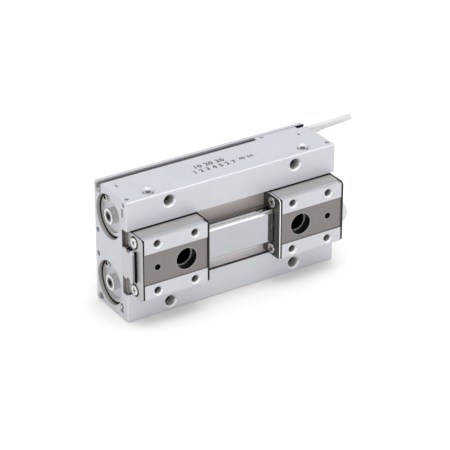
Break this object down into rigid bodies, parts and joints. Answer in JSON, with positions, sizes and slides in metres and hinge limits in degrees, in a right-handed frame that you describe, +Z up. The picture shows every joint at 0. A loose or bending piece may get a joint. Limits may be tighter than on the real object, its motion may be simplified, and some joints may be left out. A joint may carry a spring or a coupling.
{
  "type": "low profile pneumatic gripper",
  "caption": "Flat pneumatic parallel gripper: opposed pistons in an aluminium body drive two finger blocks along a guide rail.",
  "frame": {"origin": "middle of the footprint at the bottom, with the body standing on its long narrow side", "axes": "+X along the travel of the fingers, +Y from the fingers to the mounting back, +Z up across the two bores"},
  "size_m": [0.1502, 0.1085, 0.0585],
  "materials": {
    "body_aluminium": "clear anodised, satin",
    "cap_aluminium": "turned, clear anodised",
    "rail_steel": "ground stainless",
    "finger_steel": "ground stainless",
    "plate_steel": "stamped stainless",
    "screw_steel": "plain stainless",
    "spring_steel": "phosphated spring steel",
    "ball_steel": "polished",
    "gear_steel": "hobbed and hardened",
    "piston_steel": "turned, hard anodised",
    "bush_bronze": "sintered",
    "seal_rubber": "matt",
    "magnet": "bonded ferrite",
    "switch_plastic": "moulded, light grey",
    "lead_sheath": "soft vinyl",
    "core_copper": "tinned strand in thin sheath"
  },
  "bodies": {
    "body": {"housing": "body_aluminium", "guide_rail": "rail_steel", "rail_screws": "screw_steel", "upper_left_cap": "cap_aluminium", "upper_right_cap": "cap_aluminium", "lower_left_cap": "cap_aluminium", "lower_right_cap": "cap_aluminium", "cap_seals": "seal_rubber", "cap_bumpers": "seal_rubber", "cap_circlips": "spring_steel", "cap_plugs": "screw_steel", "port_plugs": "screw_steel", "passage_balls": "ball_steel", "pinion_shaft": "gear_steel", "pinion_cover": "cap_aluminium", "upper_switch": "switch_plastic", "lower_switch": "switch_plastic", "switch_screws": "screw_steel", "upper_lead": "lead_sheath", "lower_lead": "lead_sheath", "upper_lead_coil": "lead_sheath", "lower_lead_coil": "lead_sheath", "upper_lead_cores": "core_copper", "lower_lead_cores": "core_copper"},
    "left_finger": {"left_finger_block": "finger_steel", "left_outer_plate": "plate_steel", "left_inner_plate": "plate_steel", "left_plate_screws": "screw_steel", "left_guide_balls": "ball_steel", "left_joint_pin": "gear_steel", "upper_piston": "piston_steel", "upper_piston_seals": "seal_rubber", "upper_piston_magnets": "magnet"},
    "right_finger": {"right_finger_block": "finger_steel", "right_outer_plate": "plate_steel", "right_inner_plate": "plate_steel", "right_plate_screws": "screw_steel", "right_guide_balls": "ball_steel", "right_joint_pin": "gear_steel", "lower_piston": "piston_steel", "lower_piston_seals": "seal_rubber", "lower_piston_magnets": "magnet"},
    "pinion": {"pinion": "gear_steel", "pinion_bush": "bush_bronze"}
  },
  "joints": [
    {"name": "left_finger_slide", "type": "slide", "parent": "body", "child": "left_finger", "axis": [1, 0, 0], "range_m": [0, 0.01]},
    {"name": "right_finger_slide", "type": "slide", "parent": "body", "child": "right_finger", "axis": [-1, 0, 0], "range_m": [0, 0.01]},
    {"name": "pinion_spin", "type": "hinge", "parent": "body", "child": "pinion", "pos_m": [0, 0.0063, 0.02925], "axis": [0, 1, 0], "range_deg": [0, 71.7]}
  ],
  "couplings": [
    {"joint": "right_finger_slide", "follows": "left_finger_slide", "ratio": 1},
    {"joint": "pinion_spin", "follows": "left_finger_slide", "rad_per_m": 125}
  ]
}
